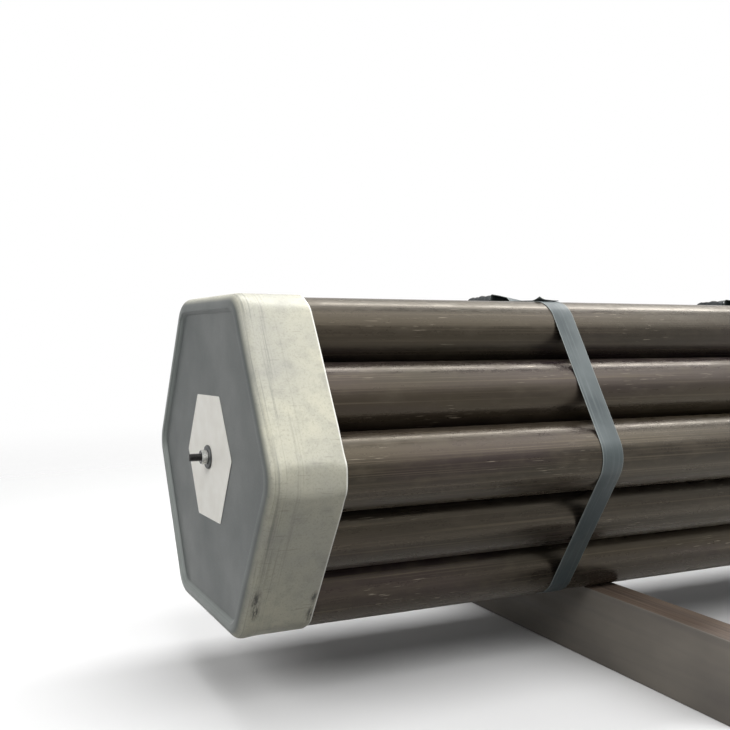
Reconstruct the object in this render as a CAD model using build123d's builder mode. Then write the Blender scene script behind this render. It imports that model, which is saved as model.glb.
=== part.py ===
from build123d import *
import os
from math import cos, radians, sin, sqrt, tan

# Bundle of nineteen steel pipes in a hexagon, with an end cap on each end, a tie rod through the
# centre pipe, four straps and two timber bearers. Millimetres. X runs along the pipes, Z is up, and
# the origin is on the floor under the middle of the bundle. The near end is the one at negative X.

# Pipes
pipe_length = 3000.0
pipe_diameter = 88.9
pipe_wall = 5.56
pipe_gap = 0.2
row_counts = (3, 4, 5, 4, 3)

# End caps, drawn from sheet
cap_depth = 91.0
cap_wall = 2.0
cap_side_clearance = 1.2
cap_end_clearance = 0.3
cap_corner_radius = 42.0
cap_front_radius = 13.0
panel_recess = 5.6
panel_border = 17.0
panel_corner_radius = 29.0
panel_draft = 40.0

# Tie rod, nuts and washers
rod_diameter = 10.0
rod_hole_clearance = 0.5
rod_projection = 26.0
nut_across_flats = 17.0
nut_thickness = 8.0
nut_clearance = 0.05
washer_diameter = 30.0
washer_thickness = 2.5

# Labels
label_across_flats = 156.0
label_thickness = 0.4

# Straps
strap_width = 32.0
strap_thickness = 0.9
strap_clearance = 0.2
strap_distance = 456.0
strap_pair_spacing = 470.0
strap_under_end = 9.0
strap_tail_start = 3.0
strap_tail_rise = 13.0
strap_tail_rise_length = 11.0
strap_tail_fall_length = 37.0
strap_tail_foot_lift = 4.0
strap_tail_rest_length = 50.0
strap_tail_rest_lift = 1.0
strap_tip_length = 16.0
strap_tip_lift = 5.0
strap_tail_radius = 5.0

# Seals, each a folded sleeve round the two strap layers, with notched edges and ears bent up
seal_centre_y = 47.0
seal_length = 56.0
seal_sheet = 0.9
seal_clearance = 0.15
seal_flange = 9.0
seal_notch_depth = 4.0
seal_notch_length = 6.0
seal_notch_spacing = 24.0
seal_notch_reach = 10.0
seal_ear_length = 12.0
seal_ear_height = 13.5
seal_ear_lean = 30.0
seal_ear_root = 0.6

# Bearers
bearer_width = 52.0
bearer_height = 100.0
bearer_length = 700.0
bearer_distance = 549.0
bearer_edge_chamfer = 2.0
bearer_clearance = 0.1

# Places that follow from the sizes
pitch = pipe_diameter + pipe_gap
row_height = pitch * sqrt(3) / 2
pipe_radius = pipe_diameter / 2
half_rows = row_height * (len(row_counts) - 1) / 2
corner_circle = pitch * (max(row_counts) - 1) / 2
half_height = half_rows + pipe_radius
axis_z = bearer_height + bearer_clearance + half_height
top_z = axis_z + half_height
cap_apothem = half_height + cap_side_clearance + cap_wall
panel_apothem = cap_apothem - panel_border
panel_wall_shift = cap_wall * (1 - sin(radians(panel_draft))) / cos(radians(panel_draft))
# Three flats stand for the quarter round of the front, each turned by a quarter of it from the next
front_flat_turn = radians(90 / 4)
front_first_chamfer = cap_front_radius * (1 - tan(front_flat_turn))
front_second_chamfer = cap_front_radius * (tan(front_flat_turn) - tan(front_flat_turn / 2))
inner_front_chamfer = (cap_front_radius - cap_wall) * (1 - tan(front_flat_turn))
chamfer_depth_at_pipe = max(inner_front_chamfer - cap_side_clearance, 0)
pipe_end_gap = cap_end_clearance + max(chamfer_depth_at_pipe - panel_recess, 0)
panel_x = pipe_length / 2 + pipe_end_gap + cap_wall
cap_front_x = panel_x + panel_recess
washer_x = panel_x + label_thickness
nut_x = washer_x + washer_thickness
rod_half_length = panel_x + rod_projection
strap_x = cap_front_x - strap_distance
strap_places = (-strap_x, strap_pair_spacing - strap_x, strap_x - strap_pair_spacing, strap_x)
strap_base_z = top_z + strap_clearance
strap_middle_z = strap_base_z + 1.5 * strap_thickness
bearer_x = cap_front_x - bearer_distance


def rounded_hexagon(apothem, corner_radius):
    """A hexagon round the bundle's axis, flat at the top and bottom, with rounded corners."""
    with Locations((0, axis_z)):
        RegularPolygon(apothem, 6, major_radius=False)
    fillet(vertices(), corner_radius)


def notch_outlines(middle_x):
    """The cuts into the edges of a seal and of the strap in it, seen from above."""
    edge = strap_width / 2 + seal_clearance + seal_sheet
    with BuildSketch(Plane.XY.offset(strap_base_z)) as notches:
        for side in (-1, 1):
            for end in (-1, 1):
                tip_x = middle_x + side * (edge - seal_notch_depth)
                foot_x = middle_x + side * (edge + seal_clearance)
                middle_y = seal_centre_y + end * seal_notch_spacing / 2
                low_y = middle_y - seal_notch_length / 2
                high_y = middle_y + seal_notch_length / 2
                Polygon((tip_x, middle_y), (foot_x, low_y), (foot_x, high_y), align=None)
    return notches.sketch


def write(part, name):
    """Names a finished piece and writes it out."""
    part.label = name
    export_step(part, f"parts/{name}.step")


os.makedirs("parts", exist_ok=True)

# The nineteen pipes, named by row from the bottom and by place in the row.
for row, count in enumerate(row_counts):
    for place in range(count):
        pipe_y = (place - (count - 1) / 2) * pitch
        pipe_z = axis_z - half_rows + row * row_height
        with BuildPart() as pipe:
            with BuildSketch(Plane.YZ):
                with Locations((pipe_y, pipe_z)):
                    Circle(pipe_radius)
                    Circle(pipe_radius - pipe_wall, mode=Mode.SUBTRACT)
            extrude(amount=pipe_length / 2, both=True)
        write(pipe.part, f"pipe_{row + 1}_{place + 1}")

# The hollow of the end cap, an even sheet thickness inside its walls, front and pressed panel.
with BuildPart() as cap_hollow:
    with BuildSketch(Plane.YZ.offset(cap_wall - cap_front_x)):
        rounded_hexagon(cap_apothem - cap_wall, cap_corner_radius - cap_wall)
    extrude(amount=cap_depth - cap_wall)
    chamfer(faces().sort_by(Axis.X)[0].edges(), inner_front_chamfer)
    with BuildSketch(Plane.YZ.offset(cap_wall - cap_front_x)):
        rounded_hexagon(panel_apothem + panel_wall_shift, panel_corner_radius + panel_wall_shift)
    extrude(amount=panel_recess, taper=panel_draft, mode=Mode.SUBTRACT)

# The end cap: a deep hexagonal cup with a shallow panel pressed into its front, hollow behind, with a
# hole for the tie rod. Its large front radius is cut as three flats that touch the round.
with BuildPart() as end_cap:
    with BuildSketch(Plane.YZ.offset(-cap_front_x)):
        rounded_hexagon(cap_apothem, cap_corner_radius)
    extrude(amount=cap_depth)
    chamfer(faces().sort_by(Axis.X)[0].edges(), front_first_chamfer)
    flat_edges = edges().group_by(Axis.X)
    chamfer(flat_edges[0] + flat_edges[2], front_second_chamfer)
    with BuildSketch(Plane.YZ.offset(-cap_front_x)):
        rounded_hexagon(panel_apothem, panel_corner_radius)
    extrude(amount=panel_recess, taper=panel_draft, mode=Mode.SUBTRACT)
    add(cap_hollow.part, mode=Mode.SUBTRACT)
    with BuildSketch(Plane.YZ.offset(-cap_front_x)):
        with Locations((0, axis_z)):
            Circle(rod_diameter / 2 + rod_hole_clearance)
    extrude(amount=cap_depth, mode=Mode.SUBTRACT)
write(end_cap.part, "end_cap_near")
write(mirror(end_cap.part, about=Plane.YZ), "end_cap_far")

# The tie rod through the centre pipe.
with BuildPart() as tie_rod:
    with BuildSketch(Plane.YZ):
        with Locations((0, axis_z)):
            Circle(rod_diameter / 2)
    extrude(amount=rod_half_length, both=True)
write(tie_rod.part, "tie_rod")

# The label: a thin hexagonal sheet, pierced by the rod.
with BuildPart() as label:
    with BuildSketch(Plane.YZ.offset(-panel_x)):
        with Locations((0, axis_z)):
            RegularPolygon(label_across_flats / 2, 6, major_radius=False)
            Circle(rod_diameter / 2 + rod_hole_clearance, mode=Mode.SUBTRACT)
    extrude(amount=-label_thickness)
write(label.part, "label_near")
write(mirror(label.part, about=Plane.YZ), "label_far")

# The washer on the label.
with BuildPart() as washer:
    with BuildSketch(Plane.YZ.offset(-washer_x)):
        with Locations((0, axis_z)):
            Circle(washer_diameter / 2)
            Circle(rod_diameter / 2 + rod_hole_clearance, mode=Mode.SUBTRACT)
    extrude(amount=-washer_thickness)
write(washer.part, "washer_near")
write(mirror(washer.part, about=Plane.YZ), "washer_far")

# The nut on the washer.
with BuildPart() as nut:
    with BuildSketch(Plane.YZ.offset(-nut_x)):
        with Locations((0, axis_z)):
            RegularPolygon(nut_across_flats / 2, 6, major_radius=False)
            Circle(rod_diameter / 2 + nut_clearance, mode=Mode.SUBTRACT)
    extrude(amount=-nut_thickness)
write(nut.part, "nut_near")
write(mirror(nut.part, about=Plane.YZ), "nut_far")

# The straps: each a closed band round the corner pipes, with its outer end laid over the top, held
# in the seal, kinked up beyond it, falling back to the band and flicked up at its tip.
for number, middle_x in enumerate(strap_places, start=1):
    under_end_y = seal_centre_y + seal_length / 2 + strap_under_end
    rise_y = seal_centre_y - seal_length / 2 - strap_tail_start
    crest_y = rise_y - strap_tail_rise_length
    foot_y = crest_y - strap_tail_fall_length
    rest_y = foot_y - strap_tail_rest_length
    notches = notch_outlines(middle_x)
    with BuildPart() as strap:
        with BuildSketch(Plane.YZ.offset(middle_x)):
            with Locations((0, axis_z)):
                RegularPolygon(corner_circle, 6)
            offset(amount=pipe_radius + strap_clearance + strap_thickness)
            with Locations((0, axis_z)):
                hollow = RegularPolygon(corner_circle, 6, mode=Mode.PRIVATE)
            offset(hollow, amount=pipe_radius + strap_clearance, mode=Mode.SUBTRACT)
        extrude(amount=strap_width / 2, both=True)
        with BuildSketch(Plane.YZ.offset(middle_x)):
            with BuildLine():
                FilletPolyline(
                    (under_end_y, strap_middle_z),
                    (rise_y, strap_middle_z),
                    (crest_y, strap_middle_z + strap_tail_rise),
                    (foot_y, strap_middle_z + strap_tail_foot_lift),
                    (rest_y, strap_middle_z + strap_tail_rest_lift),
                    (rest_y - strap_tip_length, strap_middle_z + strap_tip_lift),
                    radius=strap_tail_radius,
                )
            trace(line_width=strap_thickness)
        extrude(amount=strap_width / 2, both=True)
        extrude(notches, amount=seal_notch_reach, both=True, mode=Mode.SUBTRACT)
    write(strap.part, f"strap_{number}")

    with BuildPart() as seal:
        inside_width = strap_width + 2 * seal_clearance
        inside_height = 2 * strap_thickness + 2 * seal_clearance
        inside_z = strap_base_z + strap_thickness
        with BuildSketch(Plane.XZ.offset(-seal_centre_y)):
            with Locations((middle_x, inside_z)):
                Rectangle(inside_width + 2 * seal_sheet, inside_height + 2 * seal_sheet)
                Rectangle(inside_width, inside_height, mode=Mode.SUBTRACT)
            with Locations((middle_x, inside_z - inside_height / 2 - seal_sheet / 2)):
                Rectangle(inside_width - 2 * seal_flange, seal_sheet, mode=Mode.SUBTRACT)
        extrude(amount=seal_length / 2, both=True)
        extrude(notches, amount=seal_notch_reach, both=True, mode=Mode.SUBTRACT)
        ear_z = inside_z + inside_height / 2 + seal_sheet - seal_ear_root
        lean = radians(seal_ear_lean)
        for side in (-1, 1):
            for end in (-1, 1):
                ear_x = middle_x + side * (inside_width / 2 - seal_sheet / 2)
                ear_y = seal_centre_y + end * (seal_notch_spacing + seal_notch_length + seal_ear_length) / 2
                ear_plane = Plane(
                    origin=(ear_x, ear_y, ear_z),
                    x_dir=(0, -end, 0),
                    z_dir=(-end * cos(lean), 0, end * side * sin(lean)),
                )
                with BuildSketch(ear_plane):
                    Polygon(
                        (-seal_ear_length / 2, 0),
                        (seal_ear_length / 2, 0),
                        (seal_ear_length / 2, seal_ear_height),
                        align=None,
                    )
                extrude(amount=seal_sheet / 2, both=True)
    write(seal.part, f"strap_seal_{number}")

# The two bearers across the bundle.
for number, middle_x in enumerate((-bearer_x, bearer_x), start=1):
    with BuildPart() as bearer:
        with BuildSketch(Plane.XZ):
            with Locations((middle_x, bearer_height / 2)):
                Rectangle(bearer_width, bearer_height)
            chamfer(vertices(), bearer_edge_chamfer)
        extrude(amount=bearer_length / 2, both=True)
    write(bearer.part, f"bearer_{number}")
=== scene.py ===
import math

import bpy
import numpy as np
from mathutils import Euler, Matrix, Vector, noise


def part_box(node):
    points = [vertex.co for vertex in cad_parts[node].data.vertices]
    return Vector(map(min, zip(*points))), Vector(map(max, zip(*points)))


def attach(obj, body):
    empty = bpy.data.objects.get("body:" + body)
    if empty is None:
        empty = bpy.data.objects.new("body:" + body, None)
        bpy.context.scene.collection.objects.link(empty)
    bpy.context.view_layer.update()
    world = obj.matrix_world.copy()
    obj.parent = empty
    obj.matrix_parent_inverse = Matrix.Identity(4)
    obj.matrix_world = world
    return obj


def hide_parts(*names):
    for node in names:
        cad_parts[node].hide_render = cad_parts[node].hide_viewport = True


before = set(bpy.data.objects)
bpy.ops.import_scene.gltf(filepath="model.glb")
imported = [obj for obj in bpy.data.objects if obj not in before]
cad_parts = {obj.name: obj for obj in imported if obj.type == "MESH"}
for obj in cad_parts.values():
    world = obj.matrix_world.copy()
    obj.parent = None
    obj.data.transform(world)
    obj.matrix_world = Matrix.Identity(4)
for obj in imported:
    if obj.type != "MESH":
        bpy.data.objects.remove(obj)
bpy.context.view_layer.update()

# A bundle of nineteen steel pipes with a drawn end cap on each end, four straps and two bearers.
# Metres, in the frame's own axes: X along the pipes, Z up, the near end at negative X.

# Sizes that the frame's boxes don't give. A scale says how finely some unevenness varies, in its
# steps per metre, and a shift sets the two ends' unevenness apart.
pipe_wall = 0.00556
pipe_end_bevel = 0.0008
pipe_tone_step = 0.618
bearer_edge_radius = 0.002
bearer_unevenness = 0.0004
bearer_scale_along = 9
bearer_scale_across = 20

# End caps: the sheet, its rim, the skirt, and the panel pressed into the front
cap_sheet = 0.002
cap_corner_radius = 0.042
cap_front_radius = 0.013
cap_least_corner = 0.003
rim_edge = 0.0022
rim_tuck = 0.0003
rim_wave = 0.0006
rim_wave_scale = 14
rim_wave_power = 3
skirt_dent = 0.0009
skirt_dent_scale = 9
skirt_dent_shift = 7
corner_flat = 0.0020
corner_flat_onset = 4
panel_recess = 0.0056
panel_border = 0.017
panel_margin = 0.012
panel_corner_radius = 0.029
panel_corner_ease = 0.004
panel_draft = math.radians(40)
panel_fold_radius = 0.0018
panel_dent = 0.0006
panel_dent_scale = 7
panel_dent_shift = 4
hole_radius = 0.0055

# The near cap's folds: the depth and height where each starts, its height at the rim, how deep it
# is there, and how far it reaches below and above
folds = (
    (0.070, 0.012, 0.024, 0.0017, 0.011, 0.030),
    (0.074, -0.017, -0.026, 0.0012, 0.012, 0.012),
)

# Where a cap's paints begin, inwards from its flats, and how soon each is full. The front is painted
# darker than the skirt as painted shade. The panel's edge is painted lighter as a painted highlight,
# brightest towards +Y and downwards. The drawn lines fade along the skirt.
front_shade_start = 0.002
front_shade_fade = 0.007
bead_highlight_start = 0.0095
bead_highlight_fade = 0.002
bead_highlight_end = 0.8
bead_highlight_middle = 0.5
bead_highlight_lean = (0.6, -0.3)
bead_highlight_least = 0.1
drawn_reach = 0.04
drawn_excess = 1.3

# The tie rod, its nuts and the labels
thread_pitch = 0.0015
thread_depth = 0.00085
thread_length = 0.034
rod_end_bevel = 0.0011
washer_bevel = 0.0005
nut_face_share = 0.95
nut_clearance = 0.00005
nut_bore_bevel = 0.0006
label_shrink = 0.996
label_corner_radius = 0.0036
label_turn = math.radians(-1.4)
label_corner_lift = 0.003

# Straps: the point shares are where the band has points across it, as shares of its half width
strap_sheet = 0.0009
strap_clearance = 0.0002
strap_edge_bevel = 0.00022
strap_worn_width = 0.0012
strap_point_shares = (0.7, 0.4)
strap_overlap_reach = 0.002

# Seals: the edge share is how far the sheet's outer bends are taken off, and the point shares are
# where the top has points across it, as shares of its half width
seal_middle_y = 0.047
seal_length = 0.056
seal_sheet = 0.0009
seal_clearance = 0.00015
seal_flange = 0.009
seal_edge_share = 0.3
seal_point_shares = (0.6, 0.2)
seal_crumple = 0.0006
seal_crumple_scale = 160
seal_worn_cut = 0.0005
seal_notch_depth = 0.004
seal_notch_length = 0.006
seal_notch_spacing = 0.024

# The seals' stood-up edges; the crest line gives the share of the height at each share of the length
seal_crest_height = 0.0111
seal_far_share = 0.7
seal_crest_line = (
    (0.0, 0.45), (0.06, 0.7), (0.16, 0.86), (0.26, 0.8), (0.36, 0.86), (0.46, 0.84),
    (0.56, 1.0), (0.68, 0.96), (0.78, 0.86), (0.88, 0.97), (1.0, 1.0),
)
crest_sheet_share = 0.4
crest_foot_share = 0.6
crest_setback = 0.0004
crest_ripple = 0.002
crest_ripple_scale = 120
crest_ripple_rise = 1.4
crest_lean = 0.0045
crest_lean_power = 1.4
# Above this share of their height, the stood-up edges are painted light: a painted highlight.
crest_highlight_from = 0.95

# The strap's loose end: how far past the seal each bend lies, its lift and its radius
tail_under_end = 0.009
tail_line = (
    (0.0020, 0.0, 0.0025), (0.0055, 0.0131, 0.004), (0.027, 0.0100, 0.020), (0.044, 0.0068, 0.008),
    (0.051, 0.0016, 0.004), (0.101, 0.0003, 0.020), (0.117, 0.0003, 0.0),
)
tail_tip_lift = 0.005
tail_tip_power = 1.5
tail_edge_power = 5
tail_far_sink = 0.75
# The near side of the loose end's tip is painted light: a painted highlight.
tail_tip_highlight = 0.6

# Mesh fineness
pipe_sides = 96
rod_sides = 48
washer_sides = 64
nut_sides = 96
cap_arc_steps = 14
cap_side_steps = 26
cap_skirt_steps = 24
cap_front_steps = 9
cap_panel_steps = 14
thread_steps = 12
nut_turning_steps = 6
strap_arc_steps = 16
strap_side_steps = 8
strap_top_steps = 120
tail_step = 0.001
seal_steps = 56
crest_steps = 72
crest_rows = 8
bearer_corner_steps = 4
bearer_steps = 60

# The camera, from the middle of the near cap's front
camera_from_cap = (-0.3264, -1.0713, 0.1515)
camera_yaw = math.radians(23.63)
camera_pitch = math.radians(2.2)
camera_lens = 43.76
camera_sensor = 36.0
camera_shift = (0.078, 0.0078)
camera_clip = (0.05, 200.0)


def box_middle(node):
    """The middle of the node's box in the frame."""
    low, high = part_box(node)
    return (low + high) / 2


def box_size(node):
    """The size of the node's box in the frame."""
    low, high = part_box(node)
    return high - low


def held(value, low=0.0, high=1.0):
    """The value, kept between low and high."""
    return min(max(value, low), high)


axis_y, axis_z = box_middle("tie_rod").y, box_middle("tie_rod").z
pipe_radius = box_size("pipe_3_1").z / 2
corner_circle = box_middle("pipe_3_5").y - axis_y
cap_apothem = box_size("end_cap_near").z / 2
cap_depth = box_size("end_cap_near").x
strap_width = box_size("strap_1").x


# Meshes

def finished(name, vertices, faces, node, material, sharp=35.0, attributes=None):
    """Makes a piece, shades it smooth but for its sharp edges, and puts it in the node's place."""
    mesh = bpy.data.meshes.new(name)
    mesh.from_pydata([tuple(v) for v in vertices], [], faces)
    mesh.validate()
    mesh.shade_smooth()
    mesh.set_sharp_from_angle(angle=math.radians(sharp))
    for key, values in (attributes or {}).items():
        layer = mesh.attributes.new(key, "FLOAT", "POINT")
        layer.data.foreach_set("value", np.asarray(values, np.float32))
    mesh.materials.append(material)
    piece = bpy.data.objects.new(name, mesh)
    bpy.context.scene.collection.objects.link(piece)
    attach(piece, "root")
    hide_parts(node)
    return piece


def ring_faces(rings, points, closed_rings=False, flip=False):
    """Quads between rings of as many points each."""
    faces = []
    last = rings if closed_rings else rings - 1
    for ring in range(last):
        here = ring * points
        there = ((ring + 1) % rings) * points
        for point in range(points):
            after = (point + 1) % points
            quad = (here + point, here + after, there + after, there + point)
            faces.append(quad[::-1] if flip else quad)
    return faces


def end_faces(rings, points, flip=False):
    """The two faces that close the first and the last ring."""
    first = tuple(range(points))
    last = tuple(range((rings - 1) * points, rings * points))
    return [first, last[::-1]] if flip else [first[::-1], last]


def rounded(points, radii, steps=6):
    """A line of (x, y) points with its inner corners rounded, each by its own radius."""
    line = [Vector(points[0])]
    for before, corner, after, radius in zip(points, points[1:], points[2:], radii):
        corner = Vector(corner)
        back = (Vector(before) - corner).normalized()
        ahead = (Vector(after) - corner).normalized()
        half = back.angle(ahead) / 2
        reach = radius / math.tan(half)
        start = corner + back * reach
        end = corner + ahead * reach
        centre = corner + (back + ahead).normalized() * (radius / math.sin(half))
        for step in range(steps + 1):
            share = step / steps
            chord = start.lerp(end, share) - centre
            line.append(centre + chord.normalized() * radius)
    line.append(Vector(points[-1]))
    return line


def resampled(line, step):
    """The same line with points no further apart than the step."""
    points = [tuple(line[0])]
    for before, after in zip(line, line[1:]):
        parts = max(math.ceil((Vector(after) - Vector(before)).length / step), 1)
        for part in range(1, parts + 1):
            points.append(tuple(Vector(before).lerp(Vector(after), part / parts)))
    return points


def hexagon_ring(apothem, corner_radius):
    """Points round a hexagon, flat at the top and bottom, and their outward directions, as (y, z)."""
    places, outward = [], []
    centre_distance = (apothem - corner_radius) / math.cos(math.radians(30))
    for corner in range(6):
        middle = math.radians(60 * corner)
        centre = centre_distance * np.array((math.cos(middle), math.sin(middle)))
        for step in range(cap_arc_steps + 1):
            angle = middle + math.radians(-30 + 60 * step / cap_arc_steps)
            direction = np.array((math.cos(angle), math.sin(angle)))
            places.append(centre + corner_radius * direction)
            outward.append(direction)
        turned = middle + math.radians(60)
        next_centre = centre_distance * np.array((math.cos(turned), math.sin(turned)))
        half_turned = middle + math.radians(30)
        side = np.array((math.cos(half_turned), math.sin(half_turned)))
        start, end = centre + corner_radius * side, next_centre + corner_radius * side
        for step in range(1, cap_side_steps):
            places.append(start + (end - start) * step / cap_side_steps)
            outward.append(side)
    return np.array(places), np.array(outward)


def hole_ring(places):
    """The rod hole's points, each in line with one of the places round it."""
    return hole_radius * places / np.linalg.norm(places, axis=1, keepdims=True)


# Shader helpers

def shade(red, green, blue):
    """A colour from its 0 to 255 values on screen."""
    def linear(value):
        value /= 255
        return value / 12.92 if value <= 0.04045 else ((value + 0.055) / 1.055) ** 2.4
    return (linear(red), linear(green), linear(blue), 1.0)


class Nodes:
    """A node tree under construction."""

    def __init__(self, owner):
        owner.use_nodes = True
        self.tree = owner.node_tree
        self.tree.nodes.clear()

    def add(self, kind, **settings):
        """A new node with its settings."""
        node = self.tree.nodes.new(kind)
        for key, value in settings.items():
            setattr(node, key, value)
        return node

    def link(self, source, target):
        """Links one node's output to another's input."""
        self.tree.links.new(source, target)

    def feed(self, target, value):
        """Gives the target socket a value, which is another socket or a constant."""
        if isinstance(value, bpy.types.NodeSocket):
            self.link(value, target)
        else:
            target.default_value = value

    def math(self, operation, first, second=0.0):
        """The result of one operation on one or two values."""
        node = self.add("ShaderNodeMath", operation=operation)
        self.feed(node.inputs[0], first)
        self.feed(node.inputs[1], second)
        return node.outputs[0]

    def spread(self, value, low, high, to_low=0.0, to_high=1.0):
        """The value, stretched from low..high to to_low..to_high and held there."""
        node = self.add("ShaderNodeMapRange", clamp=True)
        self.feed(node.inputs["Value"], value)
        node.inputs["From Min"].default_value = low
        node.inputs["From Max"].default_value = high
        node.inputs["To Min"].default_value = to_low
        node.inputs["To Max"].default_value = to_high
        return node.outputs["Result"]

    def seen_ray(self):
        """1 for rays from the camera and for those that mirror or pass through the surround."""
        path = self.add("ShaderNodeLightPath")
        seen = self.math("MAXIMUM", path.outputs["Is Camera Ray"], path.outputs["Is Glossy Ray"])
        return self.math("MAXIMUM", seen, path.outputs["Is Transmission Ray"])


class Paint(Nodes):
    """A material under construction: one principled shader and the nodes that feed it."""

    def __init__(self, name):
        self.material = bpy.data.materials.new(name)
        super().__init__(self.material)
        output = self.add("ShaderNodeOutputMaterial")
        self.surface = self.add("ShaderNodeBsdfPrincipled")
        self.link(self.surface.outputs["BSDF"], output.inputs["Surface"])
        self.place = self.add("ShaderNodeTexCoord").outputs["Object"]

    def noise(self, scale, detail=3.0, roughness=0.5, distortion=0.0, shift=(0, 0, 0)):
        """Noise from about 0.3 to 0.7, its scale in repeats per metre along X, Y and Z."""
        mapping = self.add("ShaderNodeMapping")
        self.link(self.place, mapping.inputs["Vector"])
        mapping.inputs["Scale"].default_value = scale
        mapping.inputs["Location"].default_value = shift
        texture = self.add("ShaderNodeTexNoise")
        self.link(mapping.outputs["Vector"], texture.inputs["Vector"])
        texture.inputs["Scale"].default_value = 1.0
        texture.inputs["Detail"].default_value = detail
        texture.inputs["Roughness"].default_value = roughness
        texture.inputs["Distortion"].default_value = distortion
        return texture.outputs["Fac"]

    def mix(self, factor, first, second):
        """The first colour, with the second laid over it by the factor."""
        node = self.add("ShaderNodeMix", data_type="RGBA")
        self.feed(node.inputs[0], factor)
        self.feed(node.inputs[6], first)
        self.feed(node.inputs[7], second)
        return node.outputs[2]

    def attribute(self, name):
        """A value that the mesh carries at its points."""
        return self.add("ShaderNodeAttribute", attribute_name=name).outputs["Fac"]

    def facing(self, index):
        """How far the surface faces along X, Y or Z, from -1 to 1."""
        apart = self.add("ShaderNodeSeparateXYZ")
        self.link(self.add("ShaderNodeTexCoord").outputs["Normal"], apart.inputs[0])
        return apart.outputs[index]

    def distance(self, point, squeeze):
        """The distance from a point, with its parts along X, Y and Z each taken so many times."""
        apart = self.add("ShaderNodeVectorMath", operation="SUBTRACT")
        self.link(self.place, apart.inputs[0])
        apart.inputs[1].default_value = point
        squeezed = self.add("ShaderNodeVectorMath", operation="MULTIPLY")
        self.link(apart.outputs["Vector"], squeezed.inputs[0])
        squeezed.inputs[1].default_value = squeeze
        node = self.add("ShaderNodeVectorMath", operation="LENGTH")
        self.link(squeezed.outputs["Vector"], node.inputs[0])
        return node.outputs["Value"]

    def bump(self, height, distance, strength):
        """Gives the surface a fine relief: the height counts in shares of the distance."""
        node = self.add("ShaderNodeBump")
        self.feed(node.inputs["Height"], height)
        node.inputs["Distance"].default_value = distance
        node.inputs["Strength"].default_value = strength
        self.link(node.outputs["Normal"], self.surface.inputs["Normal"])

    def finish(self, colour, roughness, metallic=0.0, constants=None):
        """Feeds the surface, with the constants by their socket's name, and gives the material."""
        self.feed(self.surface.inputs["Base Color"], colour)
        self.feed(self.surface.inputs["Roughness"], roughness)
        self.surface.inputs["Metallic"].default_value = metallic
        for key, value in (constants or {}).items():
            self.surface.inputs[key].default_value = value
        return self.material


# Materials

# Dark scuffs near the foot of the near cap: a place and how far each reaches. The squeeze makes
# them narrower along the pipes.
scuff_squeeze = (2.6, 1.0, 1.0)
scuffs = (
    ((-1.4950, -0.150, 0.155), 0.020),
    ((-1.4925, -0.141, 0.139), 0.016),
    ((-1.4215, -0.134, 0.127), 0.018),
    ((-1.4225, -0.147, 0.150), 0.013),
)


def pipe_paint():
    """Dark mill scale under a thin oil film, in long streaks, with light scratches."""
    paint = Paint("pipe_steel")
    streaks = paint.noise((0.5, 75, 75), detail=5.0, roughness=0.6)
    patches = paint.noise((2.2, 9, 9), detail=3.0, shift=(3, 1, 2))
    fine_lines = paint.noise((2.4, 480, 480), detail=2.0)
    grime = paint.noise((26, 60, 60), detail=5.0, roughness=0.65)
    colour = paint.mix(paint.spread(streaks, 0.4, 0.6), shade(9, 8, 8), shade(44, 39, 34))
    colour = paint.mix(paint.spread(patches, 0.48, 0.6, 0.0, 0.7), colour, shade(40, 30, 37))
    oily = paint.noise((1.1, 14, 14), detail=3.0, shift=(9, 4, 2))
    colour = paint.mix(paint.spread(oily, 0.5, 0.62, 0.0, 0.7), colour, shade(50, 44, 33))
    colour = paint.mix(paint.spread(grime, 0.5, 0.68, 0.0, 0.5), colour, shade(64, 58, 50))
    colour = paint.mix(paint.spread(fine_lines, 0.56, 0.74, 0.0, 0.45), colour, shade(104, 94, 80))
    tone = paint.spread(paint.attribute("tone"), 0.0, 1.0, 0.0, 0.5)
    colour = paint.mix(tone, colour, shade(26, 24, 23))
    scratch = paint.noise((34, 900, 900), detail=1.0, shift=(7, 3, 5))
    where = paint.noise((5, 22, 22), detail=2.0, shift=(1, 8, 4))
    scratch = paint.spread(scratch, 0.69, 0.74)
    scratch = paint.math("MULTIPLY", scratch, paint.spread(where, 0.52, 0.62))
    colour = paint.mix(paint.math("MULTIPLY", scratch, 0.55), colour, shade(170, 160, 144))
    rough = paint.spread(streaks, 0.38, 0.62, 0.34, 0.2)
    rough = paint.math("ADD", rough, paint.spread(grime, 0.4, 0.7, 0.0, 0.14))
    paint.bump(streaks, 0.0008, 0.4)
    gloss = {"Specular IOR Level": 0.44, "Specular Tint": shade(255, 238, 208)}
    return paint.finish(colour, rough, 0.2, gloss)


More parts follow.
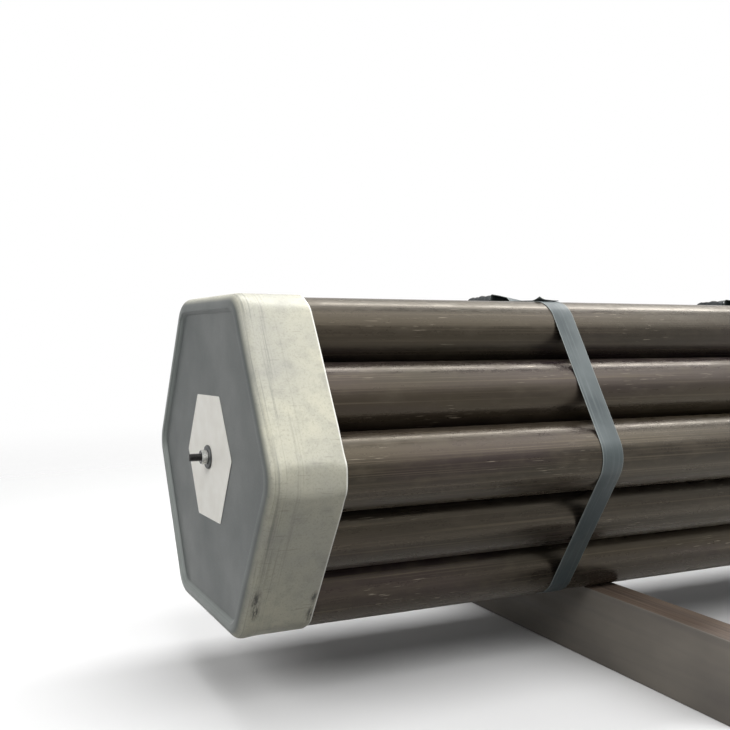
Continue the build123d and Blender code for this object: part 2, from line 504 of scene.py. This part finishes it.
def cap_paint():
    """Galvanised sheet: face smooth, painted darker grey as shade; skirt paler, mottled, lightly
    scratched.
    """
    paint = Paint("cap_galvanised")
    cloud = paint.noise((7, 7, 7), detail=4.0, roughness=0.55)
    speckle = paint.noise((420, 420, 420), detail=3.0, roughness=0.7)
    mottle = paint.noise((60, 60, 60), detail=5.0, roughness=0.65)
    drawn = paint.noise((320, 6, 6), detail=3.0, roughness=0.6, shift=(2, 5, 1))
    hair = paint.noise((24, 300, 300), detail=2.0, shift=(4, 1, 6))
    # The skirt's warm cream is partly painted warm light from above.
    skirt = paint.mix(paint.spread(cloud, 0.35, 0.65), shade(158, 157, 147), shade(184, 181, 161))
    skirt = paint.mix(paint.spread(mottle, 0.48, 0.7, 0.0, 0.4), skirt, shade(130, 131, 122))
    skirt = paint.mix(paint.spread(speckle, 0.5, 0.72, 0.0, 0.35), skirt, shade(112, 113, 106))
    at_front = paint.attribute("drawn")
    lines = paint.math("MULTIPLY", paint.spread(drawn, 0.52, 0.66, 0.0, 0.6), at_front)
    skirt = paint.mix(lines, skirt, shade(112, 113, 106))
    skirt = paint.mix(paint.spread(hair, 0.66, 0.72, 0.0, 0.3), skirt, shade(104, 104, 98))
    # The front is painted far darker than the skirt: painted shade on the same galvanised sheet.
    face = paint.mix(paint.spread(cloud, 0.35, 0.65), shade(72, 77, 76), shade(87, 91, 89))
    face = paint.mix(paint.spread(mottle, 0.5, 0.72, 0.0, 0.22), face, shade(74, 78, 77))
    face = paint.mix(paint.spread(speckle, 0.52, 0.74, 0.0, 0.2), face, shade(128, 131, 128))
    # The panel's edge is painted lighter: a painted highlight.
    face = paint.mix(paint.math("MULTIPLY", paint.attribute("bead_highlight"), 0.45), face, shade(158, 164, 160))
    colour = paint.mix(paint.attribute("face"), skirt, face)
    smudges = 0.0
    for point, reach in scuffs:
        near = paint.spread(paint.distance(point, scuff_squeeze), 0.0, reach, 1.0, 0.0)
        smudges = paint.math("MAXIMUM", smudges, near)
    broken = paint.spread(paint.noise((380, 90, 90), detail=4.0, roughness=0.7), 0.4, 0.56)
    smudges = paint.math("MULTIPLY", paint.spread(smudges, 0.0, 0.7), broken)
    colour = paint.mix(paint.math("MULTIPLY", smudges, 0.85), colour, shade(48, 48, 45))
    # The rim is painted light: partly a bare cut edge, partly a painted highlight.
    wear_and_highlight = paint.attribute("wear_and_highlight")
    colour = paint.mix(paint.math("MULTIPLY", wear_and_highlight, 0.8), colour, shade(226, 226, 220))
    paint.bump(mottle, 0.0003, 0.25)
    rough = paint.spread(cloud, 0.35, 0.65, 0.5, 0.4)
    return paint.finish(colour, rough, 0.1, {"Specular IOR Level": 0.35})


def plain_metal(name, dark, light, scale, roughness, metallic, ends=None):
    """Bare metal with a slight cloud, and a darker colour on its flat ends, painted shade, where given.
    """
    paint = Paint(name)
    cloud = paint.noise((scale, scale, scale), detail=4.0, roughness=0.6)
    colour = paint.mix(paint.spread(cloud, 0.35, 0.65), dark, light)
    if ends:
        shaded_end = paint.spread(paint.math("ABSOLUTE", paint.facing(0)), 0.88, 0.96)
        colour = paint.mix(shaded_end, colour, ends)
    rough = paint.spread(cloud, 0.35, 0.65, roughness + 0.08, roughness - 0.08)
    return paint.finish(colour, rough, metallic)


def strap_paint(name, dark, light, light_edge):
    """Painted steel strapping with fine lengthwise lines, its light edges part bare, part painted
    highlight.
    """
    paint = Paint(name)
    lines = paint.noise((420, 9, 9), detail=3.0)
    cloud = paint.noise((14, 14, 14), detail=4.0)
    colour = paint.mix(paint.spread(cloud, 0.38, 0.62), dark, light)
    colour = paint.mix(paint.spread(lines, 0.52, 0.72, 0.0, 0.16), colour, shade(140, 148, 146))
    # Light edges: partly bare paint, partly painted highlight on seal tops and the loose end's tip.
    wear_and_highlight = paint.attribute("wear_and_highlight")
    colour = paint.mix(paint.math("MULTIPLY", wear_and_highlight, 0.6), colour, light_edge)
    rough = paint.spread(cloud, 0.35, 0.65, 0.5, 0.38)
    return paint.finish(colour, rough, 0.1, {"Specular IOR Level": 0.36})


def label_paint():
    """White sheet, blank."""
    paint = Paint("label_sheet")
    cloud = paint.noise((40, 40, 40), detail=4.0)
    colour = paint.mix(paint.spread(cloud, 0.35, 0.65), shade(240, 237, 228), shade(248, 246, 238))
    return paint.finish(colour, 0.45)


def timber_paint():
    """Laminated timber: veneer edges in lines on its narrow sides and ends, its broad sides greyed."""
    paint = Paint("bearer_timber")
    across = paint.noise((330, 3, 3), detail=3.0, distortion=0.2)
    grain = paint.noise((60, 2.5, 60), detail=4.0)
    cloud = paint.noise((6, 5, 9), detail=4.0)
    edge = paint.mix(paint.spread(across, 0.4, 0.6), shade(62, 52, 45), shade(94, 80, 68))
    edge = paint.mix(paint.spread(grain, 0.5, 0.7, 0.0, 0.4), edge, shade(60, 48, 40))
    broad = paint.mix(paint.spread(cloud, 0.35, 0.65), shade(103, 98, 92), shade(129, 123, 114))
    broad = paint.mix(paint.spread(grain, 0.48, 0.7, 0.0, 0.35), broad, shade(84, 78, 76))
    side = paint.spread(paint.math("ABSOLUTE", paint.facing(0)), 0.5, 0.8)
    colour = paint.mix(side, edge, broad)
    paint.bump(grain, 0.0006, 0.4)
    return paint.finish(colour, paint.spread(grain, 0.35, 0.65, 0.75, 0.55))


pipe_steel = pipe_paint()
cap_galvanised = cap_paint()
label_sheet = label_paint()
washer_steel = plain_metal(
    "washer_steel", dark=shade(48, 50, 50), light=shade(84, 86, 86),
    scale=180, roughness=0.45, metallic=0.4)
# The nut's flat ends are painted dark: painted shade.
nut_zinc = plain_metal(
    "nut_zinc", dark=shade(150, 152, 150), light=shade(206, 206, 202),
    scale=220, roughness=0.34, metallic=0.7, ends=shade(44, 43, 41))
rod_steel = plain_metal(
    "rod_steel", dark=shade(28, 27, 27), light=shade(52, 50, 48),
    scale=240, roughness=0.38, metallic=0.5)
strap_steel = strap_paint(
    "strap_steel", dark=shade(51, 60, 62), light=shade(74, 82, 83), light_edge=shade(150, 156, 154))
# The seals are painted much darker than the straps: painted shade.
seal_steel = strap_paint(
    "seal_steel", dark=shade(24, 27, 29), light=shade(42, 46, 49), light_edge=shade(150, 147, 140))
bearer_timber = timber_paint()


# Pieces

def make_pipe(node, number):
    """A tube with its ends bevelled, and its own share of a darker tone."""
    low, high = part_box(node)
    centre_y, centre_z = (low.y + high.y) / 2, (low.z + high.z) / 2
    outer, inner, bevel = pipe_radius, pipe_radius - pipe_wall, pipe_end_bevel
    profile = [
        (low.x + bevel, outer), (high.x - bevel, outer), (high.x, outer - bevel),
        (high.x, inner + bevel), (high.x - bevel, inner), (low.x + bevel, inner),
        (low.x, inner + bevel), (low.x, outer - bevel),
    ]
    vertices = []
    for x, radius in profile:
        for side in range(pipe_sides):
            angle = 2 * math.pi * side / pipe_sides
            y, z = radius * math.cos(angle), radius * math.sin(angle)
            vertices.append((x, centre_y + y, centre_z + z))
    faces = ring_faces(len(profile), pipe_sides, closed_rings=True)
    tone = [(number * pipe_tone_step) % 1.0] * len(vertices)
    return finished(f"{node}_tube", vertices, faces, node, pipe_steel,
                    attributes={"tone": tone})


def cap_profile():
    """Rows of (depth, apothem, corner radius, share of the way to the hole), from the rear rim in."""
    rows = [
        (cap_depth, cap_apothem - rim_tuck, cap_corner_radius, 0.0),
        (cap_depth - rim_edge / 2, cap_apothem, cap_corner_radius, 0.0),
    ]
    run = cap_front_radius - cap_depth + rim_edge
    for step in range(cap_skirt_steps + 1):
        depth = cap_depth - rim_edge + run * step / cap_skirt_steps
        rows.append((depth, cap_apothem, cap_corner_radius, 0.0))
    for step in range(1, cap_front_steps):
        turn = math.radians(90 * step / cap_front_steps)
        inset = cap_front_radius * (1 - math.cos(turn))
        depth = cap_front_radius * (1 - math.sin(turn))
        rows.append((depth, cap_apothem - inset, cap_corner_radius - inset, 0.0))
    wall_reach = panel_recess * math.tan(panel_draft)
    border = [
        (0.0, cap_front_radius),
        (0.0, panel_border),
        (panel_recess, panel_border + wall_reach),
        (panel_recess, panel_border + wall_reach + panel_margin),
    ]
    for depth, inset in rounded(border, (panel_fold_radius, panel_fold_radius)):
        corner = min(cap_corner_radius - inset + panel_corner_ease, panel_corner_radius)
        rows.append((depth, cap_apothem - inset, corner, 0.0))
    edge_apothem, edge_corner = rows[-1][1:3]
    for step in range(1, cap_panel_steps + 1):
        rows.append((panel_recess, edge_apothem, edge_corner, step / cap_panel_steps))
    return rows


def fold_dent(depth, y, z):
    """How deep the near cap's folds are here: they run in from its rim, on the camera's side."""
    dent = 0.0
    for start, start_z, end_z, deep, below, above in folds:
        along = held((depth - start) / (cap_depth - start))
        off = z - start_z - (end_z - start_z) * along
        across = off / above if off > 0 else -off / below
        dent = max(dent, deep * along * max(1 - across, 0.0))
    return dent if y < 0 else 0.0


def skirt_push(depth, place, direction, front_x):
    """How far a cap's sheet is pushed out from its plain form, below 0 for inwards."""
    on_skirt = held((depth - cap_front_radius) / (cap_depth - cap_front_radius))
    y, z = place
    scale = skirt_dent_scale
    spot = Vector((depth * scale + front_x * skirt_dent_shift, y * scale, z * scale))
    push = skirt_dent * on_skirt * (0.5 * noise.noise(spot) - 0.5)
    if front_x < 0:
        push -= fold_dent(depth, y, z)
    sixth = math.pi / 3
    off_corner = (math.atan2(direction[1], direction[0]) + sixth / 2) % sixth - sixth / 2
    flat = corner_flat * min(on_skirt * corner_flat_onset, 1.0)
    return push - flat * math.cos(3 * off_corner) ** 2


def cap_depth_shift(depth, apothem, y, z, front_x):
    """The rim's waves and the panel's shallow dents, as a change of depth."""
    on_skirt = held((depth - cap_front_radius) / (cap_depth - cap_front_radius))
    on_panel = 1.0 if apothem < cap_apothem - panel_border - panel_margin else 0.0
    rim_spot = Vector((y * rim_wave_scale, z * rim_wave_scale, front_x))
    panel_spot = Vector((y * panel_dent_scale, z * panel_dent_scale, front_x + panel_dent_shift))
    wave = rim_wave * on_skirt ** rim_wave_power * (0.5 * noise.noise(rim_spot) - 0.5)
    return wave + panel_dent * on_panel * noise.noise(panel_spot)


def make_cap(node, front_x, inward):
    """The drawn cap: front_x is its front's place and inward is 1 or -1, the way its skirt runs.

    Its points carry four values for the paint: the rim, painted light as partly bare edge and partly
    painted highlight; the front, painted darker as painted shade; the panel's edge, painted lighter
    as a painted highlight; and where the sheet was drawn over the front.
    """
    outer = cap_profile()
    inner = [(cap_depth, cap_apothem - cap_sheet, cap_corner_radius - cap_sheet, 0.0)]
    for depth, apothem, corner, share in outer:
        if depth + cap_sheet < cap_depth:
            corner = max(corner - cap_sheet, cap_least_corner)
            inner.append((depth + cap_sheet, apothem - cap_sheet, corner, share))
    rows = outer + inner[::-1]
    bead_highlight_reach = panel_border + bead_highlight_end * panel_recess * math.tan(panel_draft)
    vertices, wear_and_highlight, face, bead_highlight, drawn = [], [], [], [], []
    for row, (depth, apothem, corner, share) in enumerate(rows):
        places, outward = hexagon_ring(apothem, corner)
        places = (1 - share) * places + share * hole_ring(places)
        inset = cap_apothem - apothem
        on_bead_highlight = held((inset - bead_highlight_start) / bead_highlight_fade) if inset < bead_highlight_reach else 0.0
        for (y, z), (out_y, out_z) in zip(places, outward):
            push = skirt_push(depth, (y, z), (out_y, out_z), front_x)
            x = front_x + inward * (depth + cap_depth_shift(depth, apothem, y, z, front_x))
            vertices.append((x, axis_y + y + out_y * push, axis_z + z + out_z * push))
            # Painted light and shade: a light rim, a darker front and a lighter panel edge.
            wear_and_highlight.append(1.0 if row in (0, 1, len(rows) - 1) else 0.0)
            face.append(held((inset - front_shade_start) / front_shade_fade))
            side = bead_highlight_middle + bead_highlight_lean[0] * out_y + bead_highlight_lean[1] * out_z
            bead_highlight.append(on_bead_highlight * held(side, bead_highlight_least))
            drawn.append(held(drawn_excess - depth / drawn_reach))
    points = 6 * (cap_arc_steps + cap_side_steps)
    faces = ring_faces(len(rows), points, closed_rings=True, flip=inward > 0)
    return finished(f"{node}_sheet", vertices, faces, node, cap_galvanised,
                    attributes={"wear_and_highlight": wear_and_highlight, "face": face, "bead_highlight": bead_highlight, "drawn": drawn})


def make_rod():
    """The tie rod: a thread at each end and a plain bar between."""
    low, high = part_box("tie_rod")
    radius = (high.z - low.z) / 2
    steps = int(thread_length / thread_pitch * thread_steps)
    near_x = [low.x + thread_length * step / steps for step in range(steps + 1)]
    far_x = [low.x + high.x - x for x in near_x[::-1]]
    rings = near_x + far_x
    vertices = []
    for x in rings:
        from_end = min(x - low.x, high.x - x)
        ease = max(rod_end_bevel - from_end, 0.0)
        run_out = min(1.0, (thread_length - from_end) / thread_pitch)
        for side in range(rod_sides):
            turn = side / rod_sides
            phase = (x / thread_pitch - turn) % 1.0
            cut = thread_depth * (1 - abs(2 * phase - 1)) * run_out
            here = radius - max(cut, ease)
            angle = 2 * math.pi * turn
            vertices.append((x, axis_y + here * math.cos(angle), axis_z + here * math.sin(angle)))
    faces = ring_faces(len(rings), rod_sides) + end_faces(len(rings), rod_sides)
    return finished("tie_rod_thread", vertices, faces, "tie_rod", rod_steel, sharp=60.0)


def turned_ring(profile, around, outline=None):
    """A profile of (x, radius) turned round the rod, within the outline's radius where one is given."""
    vertices = []
    for x, radius in profile:
        for side in range(around):
            angle = 2 * math.pi * side / around
            here = radius if outline is None else min(radius, outline(angle))
            vertices.append((x, axis_y + here * math.cos(angle), axis_z + here * math.sin(angle)))
    return vertices


def make_washer(node):
    """A flat washer with its outer edges broken."""
    low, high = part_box(node)
    radius = (high.z - low.z) / 2
    bevel = washer_bevel
    profile = [
        (low.x, hole_radius), (low.x, radius - bevel), (low.x + bevel, radius),
        (high.x - bevel, radius), (high.x, radius - bevel), (high.x, hole_radius),
    ]
    vertices = turned_ring(profile, washer_sides)
    faces = ring_faces(len(profile), washer_sides, closed_rings=True)
    return finished(f"{node}_ring", vertices, faces, node, washer_steel)


def make_nut(node):
    """A hexagon nut with its corners turned off at both ends."""
    low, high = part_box(node)
    half_flats = (high.z - low.z) / 2
    bore = box_size("tie_rod").z / 2 + nut_clearance
    mouth = bore + nut_bore_bevel
    face_radius = half_flats * nut_face_share
    slope = math.tan(math.radians(30))

    def outline(angle):
        off_flat = (angle - math.pi / 2 + math.pi / 6) % (math.pi / 3) - math.pi / 6
        return half_flats / math.cos(off_flat)

    corner = half_flats / math.cos(math.pi / 6)
    reach = (corner - face_radius) * slope
    steps = [reach * share / nut_turning_steps for share in range(nut_turning_steps + 1)]
    profile = [(low.x, mouth), (low.x, face_radius)]
    profile += [(low.x + step, face_radius + step / slope) for step in steps[1:]]
    profile += [(high.x - step, face_radius + step / slope) for step in steps[:0:-1]]
    profile += [(high.x, face_radius), (high.x, mouth)]
    profile += [(high.x - nut_bore_bevel, bore), (low.x + nut_bore_bevel, bore)]
    vertices = turned_ring(profile, nut_sides, outline)
    faces = ring_faces(len(profile), nut_sides, closed_rings=True)
    return finished(f"{node}_hexagon", vertices, faces, node, nut_zinc)


def make_label(node, turn):
    """A thin hexagonal sheet with its corners rounded, stuck on a little askew."""
    low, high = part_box(node)
    half_flats = (high.z - low.z) / 2
    places = hexagon_ring(half_flats * label_shrink, label_corner_radius)[0]
    hole = hole_ring(places)
    outline = [(y, z + label_corner_lift * (1 - abs(z) / half_flats)) for y, z in places]
    rows = [(low.x, hole), (low.x, outline), (high.x, outline), (high.x, hole)]
    vertices = []
    for x, ring in rows:
        for y, z in ring:
            turned_y = y * math.cos(turn) - z * math.sin(turn)
            turned_z = y * math.sin(turn) + z * math.cos(turn)
            vertices.append((x, axis_y + turned_y, axis_z + turned_z))
    points = 6 * (cap_arc_steps + cap_side_steps)
    faces = ring_faces(len(rows), points, closed_rings=True)
    return finished(f"{node}_sheet", vertices, faces, node, label_sheet)


def band(path, middle_x, half_width, half_sheet, closed, twist=None):
    """A strip with bevelled edges along a path of (y, z, out_y, out_z).

    half_width takes y and z. twist takes them and the share across, from -1 to 1, and gives how far
    the strip is lifted there.
    """
    bevel = strap_edge_bevel
    far, near = strap_point_shares
    vertices, wear_and_highlight = [], []
    for y, z, out_y, out_z in path:
        half = half_width(y, z)
        section = [
            (-half, -half_sheet + bevel, 1), (-half + bevel, -half_sheet, 1),
            (-half * far, -half_sheet, 0), (-half * near, -half_sheet, 0),
            (half - bevel, -half_sheet, 1), (half, -half_sheet + bevel, 1),
            (half, half_sheet - bevel, 1), (half - bevel, half_sheet, 1),
            (half - strap_worn_width, half_sheet, 0), (half * near, half_sheet, 0),
            (-half * near, half_sheet, 0), (-half * far, half_sheet, 0),
            (-half + strap_worn_width, half_sheet, 0), (-half + bevel, half_sheet, 1),
            (-half, half_sheet - bevel, 1),
        ]
        for across, out, light_edge in section:
            lift = twist(y, z, across / half) if twist else 0.0
            vertices.append((middle_x + across, y + out_y * out, z + out_z * out + lift))
            wear_and_highlight.append(light_edge)
    points = len(section)
    faces = ring_faces(len(path), points, closed_rings=closed)
    if not closed:
        faces += end_faces(len(path), points)
    return vertices, faces, wear_and_highlight


def notch(y):
    """How far the edges are cut in at y, by the two notches of a seal."""
    cut = 0.0
    for end in (-1, 1):
        from_middle = abs(y - seal_middle_y - end * seal_notch_spacing / 2)
        cut = max(cut, seal_notch_depth * (1 - from_middle / (seal_notch_length / 2)))
    return cut


def strap_loop():
    """The closed path round the six corner pipes, half a sheet above them."""
    reach = pipe_radius + strap_clearance + strap_sheet / 2
    loop = []
    for corner in range(6):
        middle = math.radians(60 * corner)
        centre_y, centre_z = corner_circle * math.cos(middle), corner_circle * math.sin(middle)
        for step in range(strap_arc_steps + 1):
            angle = middle + math.radians(-30 + 60 * step / strap_arc_steps)
            out_y, out_z = math.cos(angle), math.sin(angle)
            loop.append((centre_y + reach * out_y, centre_z + reach * out_z, out_y, out_z))
        side = math.radians(60 * corner + 30)
        turned = math.radians(60 * corner + 60)
        start = np.array(loop[-1][:2])
        end = np.array((corner_circle * math.cos(turned) + reach * math.cos(side),
                        corner_circle * math.sin(turned) + reach * math.sin(side)))
        steps = strap_top_steps if corner == 1 else strap_side_steps
        for step in range(1, steps):
            y, z = start + (end - start) * step / steps
            loop.append((y, z, math.cos(side), math.sin(side)))
    return [(axis_y + y, axis_z + z, out_y, out_z) for y, z, out_y, out_z in loop]


def make_strap(number, top_z):
    """A closed band round the corner pipes, and its outer end laid over the top through the seal."""
    node = f"strap_{number}"
    middle_x = box_middle(node).x
    half = strap_width / 2

    def loop_half(y, z):
        on_top = z > top_z - strap_overlap_reach
        return half - (notch(y) if on_top else 0.0)

    def tail_half(y, z):
        return half - notch(y)

    vertices, faces, wear_and_highlight = band(strap_loop(), middle_x, loop_half, strap_sheet / 2, True)

    tail_z = top_z + 1.5 * strap_sheet
    seal_end = seal_middle_y - seal_length / 2
    corners = [(seal_middle_y + seal_length / 2 + tail_under_end, 0.0)]
    corners += [(seal_end - past, lift) for past, lift, radius in tail_line]
    rest_y, tip_y = corners[-2][0], corners[-1][0]
    line = resampled(rounded(corners, [radius for past, lift, radius in tail_line]), tail_step)
    tail = []
    for index, (y, lift) in enumerate(line):
        before, after = line[max(index - 1, 0)], line[min(index + 1, len(line) - 1)]
        along = (Vector(after) - Vector(before)).normalized()
        tail.append((y, tail_z + lift, along.y, -along.x))

    def tail_twist(y, z, across):
        past = max(rest_y - y, 0.0) / (rest_y - tip_y)
        tip = tail_tip_lift * past ** tail_tip_power * (0.5 - 0.5 * across) ** tail_edge_power
        return tip - tail_far_sink * (z - tail_z) * (0.5 + 0.5 * across)

    tail_vertices, tail_faces, tail_wear_and_highlight = band(
        tail, middle_x, tail_half, strap_sheet / 2, False, tail_twist)
    # The near side of the lifted tip is painted light: a painted highlight.
    for index, (x, y, z) in enumerate(tail_vertices):
        if y < rest_y and x < middle_x:
            tail_wear_and_highlight[index] = max(tail_wear_and_highlight[index], tail_tip_highlight)
    first = len(vertices)
    faces += [tuple(first + index for index in face) for face in tail_faces]
    return finished(f"{node}_band", vertices + tail_vertices, faces, node, strap_steel,
                    attributes={"wear_and_highlight": wear_and_highlight + tail_wear_and_highlight})


def seal_crest(y):
    """How high a seal's crumpled edges stand up at y, higher towards the strap's loose end."""
    along = 0.5 - (y - seal_middle_y) / seal_length
    places, shares = zip(*seal_crest_line)
    return seal_crest_height * float(np.interp(along, places, shares))


def make_seal(number, top_z):
    """A folded sleeve round the two strap layers, crimped, its cut edges crumpled and stood up."""
    node = f"strap_seal_{number}"
    middle_x = box_middle(node).x
    inside = strap_width / 2 + seal_clearance
    bottom = top_z - seal_clearance
    top = top_z + 2 * strap_sheet + seal_clearance
    sheet = seal_sheet
    edge = sheet * seal_edge_share
    wide, narrow = inside * seal_point_shares[0], inside * seal_point_shares[1]
    section = [
        (-inside + seal_flange, bottom), (-inside + seal_flange, bottom - sheet),
        (-inside - edge, bottom - sheet), (-inside - sheet, bottom - edge),
        (-inside - sheet, top + edge), (-inside - edge, top + sheet),
        (-wide, top + sheet), (-narrow, top + sheet),
        (narrow, top + sheet), (wide, top + sheet),
        (inside + edge, top + sheet), (inside + sheet, top + edge),
        (inside + sheet, bottom - edge), (inside + edge, bottom - sheet),
        (inside - seal_flange, bottom - sheet), (inside - seal_flange, bottom),
        (inside, bottom), (inside, top), (-inside, top), (-inside, bottom),
    ]
    scale = seal_crumple_scale
    vertices, wear_and_highlight = [], []
    for step in range(seal_steps + 1):
        y = seal_middle_y - seal_length / 2 + seal_length * step / seal_steps
        cut = notch(y)
        for x, z in section:
            at_side = abs(x) > inside * 0.9
            pulled = max(abs(x) - cut, 0.0) if at_side else abs(x)
            spot = Vector((x * scale + number, y * scale, z * scale))
            lift = seal_crumple * noise.noise(spot) if z > top + sheet * 0.9 else 0.0
            vertices.append((middle_x + math.copysign(pulled, x), y, z + lift))
            bare = step in (0, seal_steps) or cut > seal_worn_cut and at_side
            wear_and_highlight.append(1.0 if bare else 0.0)
    faces = ring_faces(seal_steps + 1, len(section)) + end_faces(seal_steps + 1, len(section))
    foot_z = top + sheet * crest_foot_share
    for side in (-1, 1):
        edge_vertices, edge_faces, edge_highlight = standing_edge(middle_x, side, inside, foot_z, number)
        first = len(vertices)
        vertices += edge_vertices
        wear_and_highlight += edge_highlight
        faces += [tuple(first + index for index in face) for face in edge_faces]
    return finished(f"{node}_sleeve", vertices, faces, node, seal_steel,
                    attributes={"wear_and_highlight": wear_and_highlight})


def standing_edge(middle_x, side, inside, foot_z, number):
    """The crumpled edge of sheet that stands up along one side of a seal, as a thin closed skin."""
    half_sheet = seal_sheet * crest_sheet_share
    vertices, wear_and_highlight = [], []
    for step in range(crest_steps + 1):
        y = seal_middle_y + (step / crest_steps - 0.5) * seal_length
        height = seal_crest(y) * (1.0 if side < 0 else seal_far_share)
        shape = []
        for row in range(crest_rows + 1):
            share = row / crest_rows
            spot = Vector((number * 3 + side, y * crest_ripple_scale, share * crest_ripple_rise))
            ripple = crest_ripple * share * noise.noise(spot)
            lean = crest_lean * share ** crest_lean_power * height / seal_crest_height
            across = inside - crest_setback - lean + ripple
            shape.append((across, foot_z + height * share, share))
        skin = [(across + half_sheet, z, share) for across, z, share in shape]
        skin += [(across - half_sheet, z, share) for across, z, share in shape[::-1]]
        # The top of each stood-up edge is painted light: a painted highlight.
        for across, z, share in skin:
            vertices.append((middle_x + side * across, y, z))
            wear_and_highlight.append(1.0 if share > crest_highlight_from else 0.0)
    rings, points = crest_steps + 1, 2 * (crest_rows + 1)
    faces = ring_faces(rings, points, flip=side > 0) + end_faces(rings, points, flip=side > 0)
    return vertices, faces, wear_and_highlight


def make_bearer(node):
    """A sawn bearer with its edges eased, a little uneven along its length."""
    low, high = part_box(node)
    radius = bearer_edge_radius
    section = []
    corners = [(high.x - radius, high.z - radius, 0), (low.x + radius, high.z - radius, 90),
               (low.x + radius, low.z + radius, 180), (high.x - radius, low.z + radius, 270)]
    for x, z, start in corners:
        for step in range(bearer_corner_steps + 1):
            angle = math.radians(start + 90 * step / bearer_corner_steps)
            section.append((x + radius * math.cos(angle), z + radius * math.sin(angle)))
    middle_x = (low.x + high.x) / 2
    vertices = []
    for step in range(bearer_steps + 1):
        y = low.y + (high.y - low.y) * step / bearer_steps
        for x, z in section:
            spot = Vector((x * bearer_scale_across, y * bearer_scale_along, z * bearer_scale_across))
            uneven = bearer_unevenness * (noise.noise(spot) - 1)
            vertices.append((x + math.copysign(uneven, middle_x - x), y, z))
    rings, points = bearer_steps + 1, len(section)
    faces = ring_faces(rings, points, flip=True) + end_faces(rings, points, flip=True)
    return finished(f"{node}_timber", vertices, faces, node, bearer_timber)


pipe_nodes = sorted(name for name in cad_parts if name.startswith("pipe_"))
for number, node in enumerate(pipe_nodes):
    make_pipe(node, number)
make_cap("end_cap_near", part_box("end_cap_near")[0].x, 1)
make_cap("end_cap_far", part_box("end_cap_far")[1].x, -1)
make_rod()
band_top_z = axis_z + corner_circle * math.sin(math.radians(60)) + pipe_radius + strap_clearance
for end in ("near", "far"):
    make_washer(f"washer_{end}")
    make_nut(f"nut_{end}")
    make_label(f"label_{end}", label_turn if end == "near" else -label_turn)
for number in range(1, 5):
    make_strap(number, band_top_z)
    make_seal(number, band_top_z)
for number in (1, 2):
    make_bearer(f"bearer_{number}")


# Floor, light and camera

floor_reach = 12.0
floor_fade = (0.9, 3.6)
floor_fade_power = 2.0
floor_squeeze = (0.55, 1.0, 1.0)
floor_seen = shade(222, 222, 222)
floor_lit = shade(92, 92, 92)
surround_seen = 1.0
surround_light = 0.2


def make_stage():
    """A pale floor that fades into the white surround, and throws back less light than it shows."""
    mesh = bpy.data.meshes.new("floor")
    corners = [(-floor_reach, -floor_reach, 0), (floor_reach, -floor_reach, 0),
               (floor_reach, floor_reach, 0), (-floor_reach, floor_reach, 0)]
    mesh.from_pydata(corners, [], [(0, 1, 2, 3)])
    floor = bpy.data.objects.new("floor", mesh)
    bpy.context.scene.collection.objects.link(floor)
    paint = Paint("floor")
    colour = paint.mix(paint.seen_ray(), floor_lit, floor_seen)
    away = paint.distance((0, 0, 0), floor_squeeze)
    fade = paint.spread(away, *floor_fade, 1.0, 0.0)
    paint.feed(paint.surface.inputs["Alpha"], paint.math("POWER", fade, floor_fade_power))
    mesh.materials.append(paint.finish(colour, 0.9))


def make_world():
    """A surround that shows white and mirrors white, and lights the bundle only a little."""
    world = bpy.data.worlds.new("surround")
    nodes = Nodes(world)
    output = nodes.add("ShaderNodeOutputWorld")
    background = nodes.add("ShaderNodeBackground")
    nodes.link(background.outputs[0], output.inputs["Surface"])
    background.inputs["Color"].default_value = (1.0, 1.0, 1.0, 1.0)
    strength = nodes.spread(nodes.seen_ray(), 0.0, 1.0, surround_light, surround_seen)
    nodes.link(strength, background.inputs["Strength"])
    bpy.context.scene.world = world


def add_lamp(name, place, target, size, power):
    """A rectangular lamp that faces its target, its size in metres and its power in watts."""
    lamp = bpy.data.lights.new(name, "AREA")
    lamp.shape = "RECTANGLE"
    lamp.size, lamp.size_y = size
    lamp.energy = power
    holder = bpy.data.objects.new(name, lamp)
    bpy.context.scene.collection.objects.link(holder)
    holder.location = place
    holder.rotation_euler = (Vector(target) - Vector(place)).to_track_quat("-Z", "Y").to_euler()


def make_camera():
    """The camera at the photograph's own place and angle."""
    camera = bpy.data.cameras.new("camera")
    holder = bpy.data.objects.new("camera", camera)
    bpy.context.scene.collection.objects.link(holder)
    camera.sensor_width = camera_sensor
    camera.lens = camera_lens
    camera.shift_x, camera.shift_y = camera_shift
    camera.clip_start, camera.clip_end = camera_clip
    front = Vector((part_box("end_cap_near")[0].x, axis_y, axis_z))
    holder.location = front + Vector(camera_from_cap)
    holder.rotation_euler = Euler((math.pi / 2 - camera_pitch, 0, -camera_yaw), "XYZ")
    bpy.context.scene.camera = holder


make_stage()
make_world()
add_lamp("overhead", place=(0.1, -1.7, 2.8), target=(0.1, 0, 0.3), size=(5.0, 2.8), power=140)
add_lamp("behind", place=(0.3, 0.85, 2.8), target=(0.3, 0, 0.4), size=(4.4, 0.8), power=110)
add_lamp("front", place=(-4.0, -1.0, 2.2), target=(-1.4, 0, 0.3), size=(2.4, 1.6), power=56)
make_camera()
bpy.context.scene.view_settings.view_transform = "Standard"
